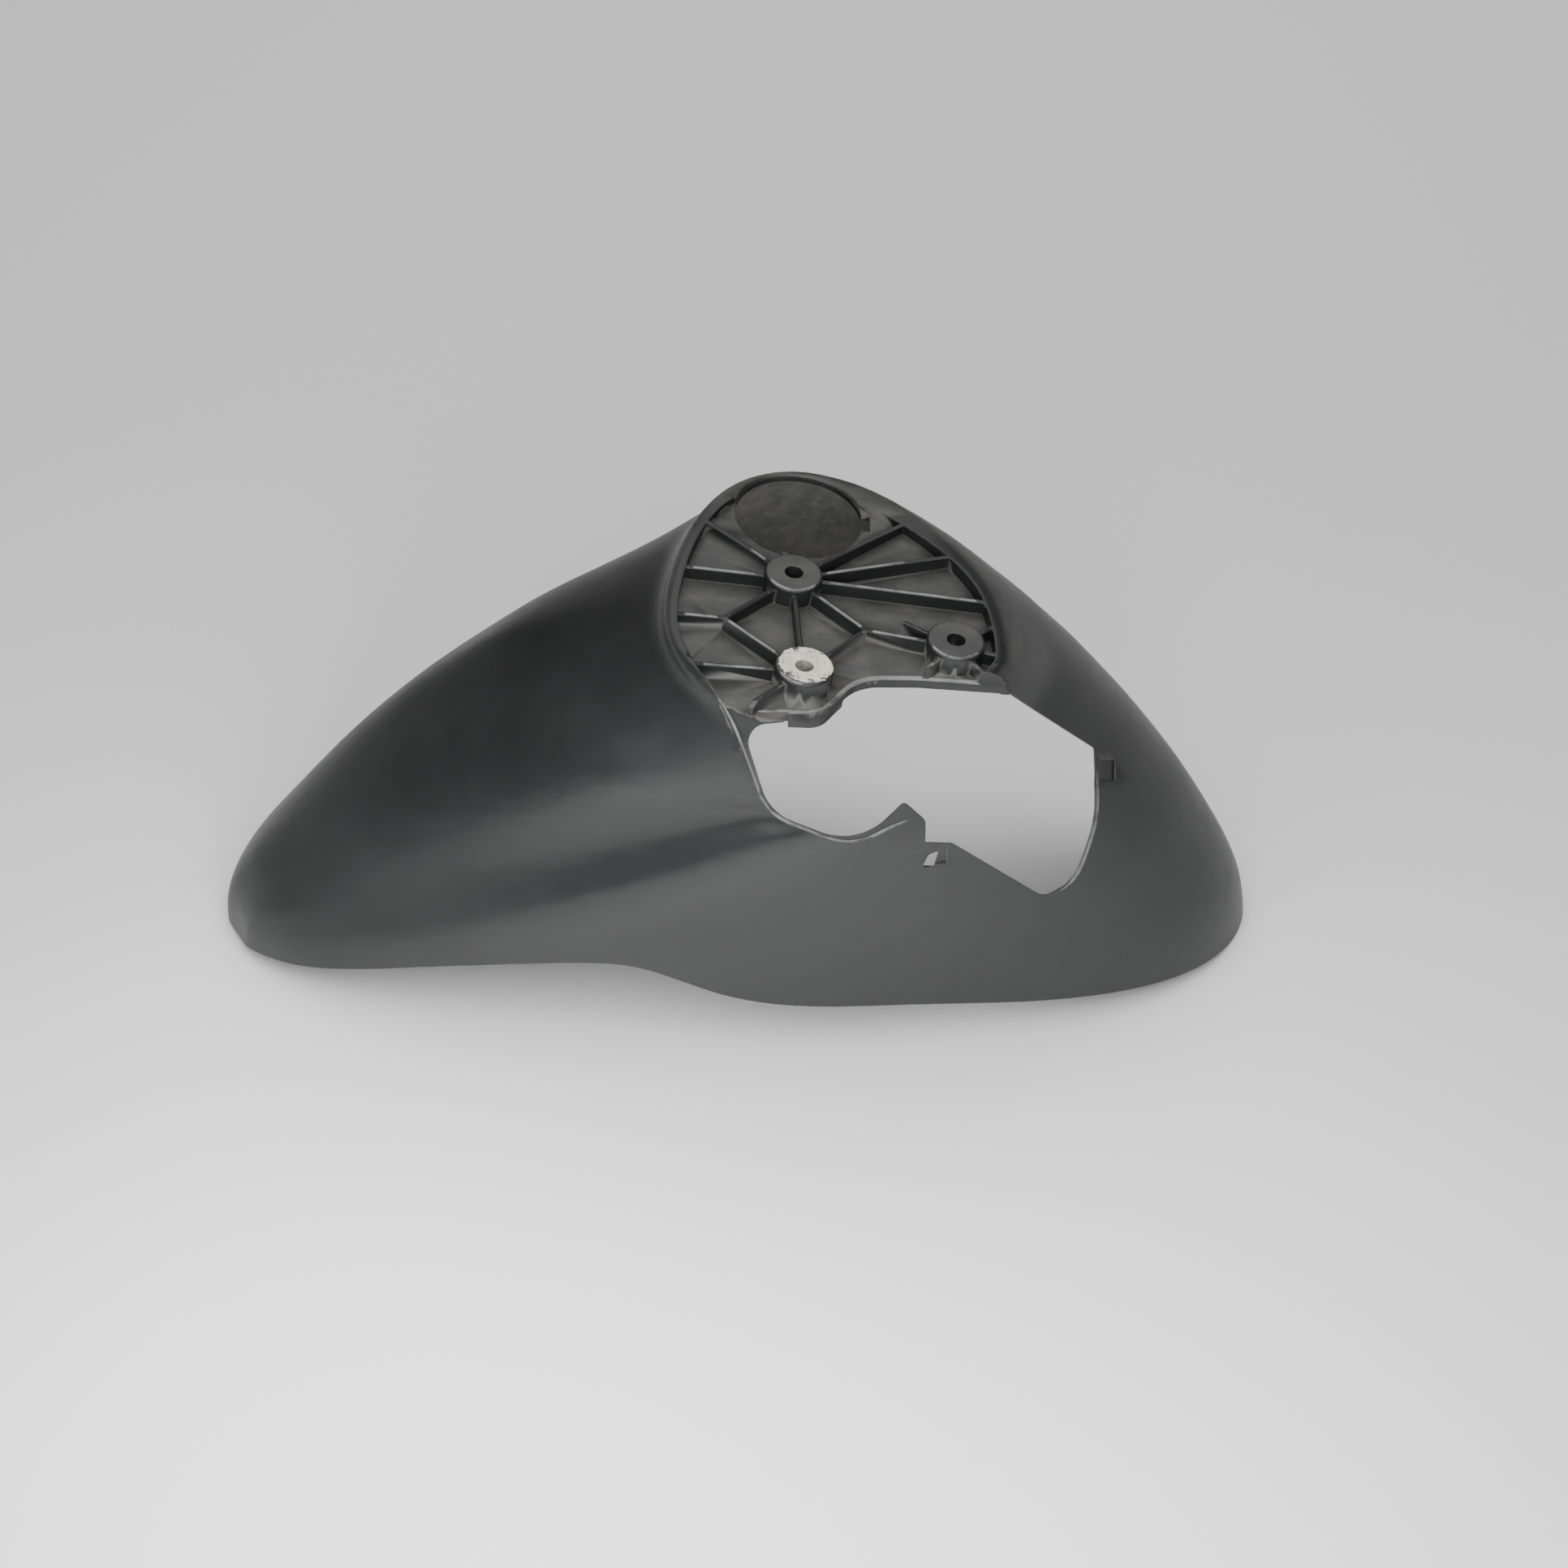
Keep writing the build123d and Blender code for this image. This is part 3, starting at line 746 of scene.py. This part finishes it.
class MUDGUARD_OT_stage(bpy.types.Operator):
    """Sets the floor, the lights and the camera."""

    bl_idname = "mudguard.stage"
    bl_label = "Studio stage"

    def execute(self, context):
        studio = context.scene.mudguard_studio
        self.floor(studio)
        context.scene.world = self.room(studio)
        for name, place, size, target, power in LIGHTS:
            self.soft_light(name, place, size, target, getattr(studio, power))
        context.scene.camera = self.camera(studio)
        return {"FINISHED"}

    def floor(self, studio):
        mesh = bpy.data.meshes.new("studio_floor")
        level = CAD_BOX[0][2]
        corners = [(-FLOOR_HALF, -FLOOR_HALF, level), (FLOOR_HALF, -FLOOR_HALF, level),
                   (FLOOR_HALF, FLOOR_HALF, level), (-FLOOR_HALF, FLOOR_HALF, level)]
        mesh.from_pydata(corners, [], [(0, 1, 2, 3)])
        material = bpy.data.materials.new("pale_floor")
        material.use_nodes = True
        shader = material.node_tree.nodes["Principled BSDF"]
        shader.inputs["Base Color"].default_value = colour(studio.floor_colour)
        shader.inputs["Roughness"].default_value = FLOOR_ROUGHNESS
        shader.inputs["Specular IOR Level"].default_value = FLOOR_SHINE
        mesh.materials.append(material)
        link(bpy.data.objects.new("studio_floor", mesh))

    def room(self, studio):
        """A room that is pale near the floor and dark overhead."""
        world = bpy.data.worlds.new("studio_room")
        world.use_nodes = True
        bench = NodeBench(world.node_tree)
        direction = bench.add("ShaderNodeTexCoord").outputs["Generated"]
        rise = bench.add("ShaderNodeSeparateXYZ", {0: direction}).outputs["Z"]
        dark = bench.ramp(rise, low=0.05, high=0.4)
        pale = (studio.room_light, studio.room_light, studio.room_light)
        background = world.node_tree.nodes["Background"]
        bench.feed(background.inputs["Color"], bench.mix(dark, colour(pale), colour(studio.ceiling_colour)))
        return world

    def soft_light(self, name, place, size, target, power):
        light = bpy.data.lights.new(name, "AREA")
        light.size = size
        light.energy = power
        aim(link(bpy.data.objects.new(name, light)), place, target)

    def camera(self, studio):
        lens = bpy.data.cameras.new("camera")
        lens.lens = studio.camera_lens
        lens.sensor_width = SENSOR_WIDTH
        camera = link(bpy.data.objects.new("camera", lens))
        aim(camera, studio.camera_place, studio.camera_target)
        return camera


class VIEW3D_PT_mudguard(bpy.types.Panel):
    """Lists the settings and the steps of the mudguard."""

    bl_label = "Mudguard"
    bl_space_type = "VIEW_3D"
    bl_region_type = "UI"
    bl_category = "Mudguard"

    def draw(self, context):
        layout = self.layout
        for group in (context.scene.mudguard_sizes, context.scene.mudguard_finish,
                      context.scene.mudguard_studio):
            for key in group.__annotations__:
                layout.prop(group, key)
        for step in STEPS:
            layout.operator(step.bl_idname)


STEPS = (MUDGUARD_OT_shell, MUDGUARD_OT_rib_tops, MUDGUARD_OT_boss_edges, MUDGUARD_OT_lips, MUDGUARD_OT_lug,
         MUDGUARD_OT_stage)
CLASSES = (MudguardSizes, MudguardFinish, StudioSettings, *STEPS, VIEW3D_PT_mudguard)


def register():
    for cls in CLASSES:
        bpy.utils.register_class(cls)
    bpy.types.Scene.mudguard_sizes = PointerProperty(type=MudguardSizes)
    bpy.types.Scene.mudguard_finish = PointerProperty(type=MudguardFinish)
    bpy.types.Scene.mudguard_studio = PointerProperty(type=StudioSettings)


def unregister():
    del bpy.types.Scene.mudguard_studio
    del bpy.types.Scene.mudguard_finish
    del bpy.types.Scene.mudguard_sizes
    for cls in reversed(CLASSES):
        bpy.utils.unregister_class(cls)


def main():
    register()
    bpy.ops.mudguard.shell()
    bpy.ops.mudguard.rib_tops()
    bpy.ops.mudguard.boss_edges()
    bpy.ops.mudguard.lips()
    bpy.ops.mudguard.lug()
    bpy.ops.mudguard.stage()


if __name__ == "__main__":
    main()
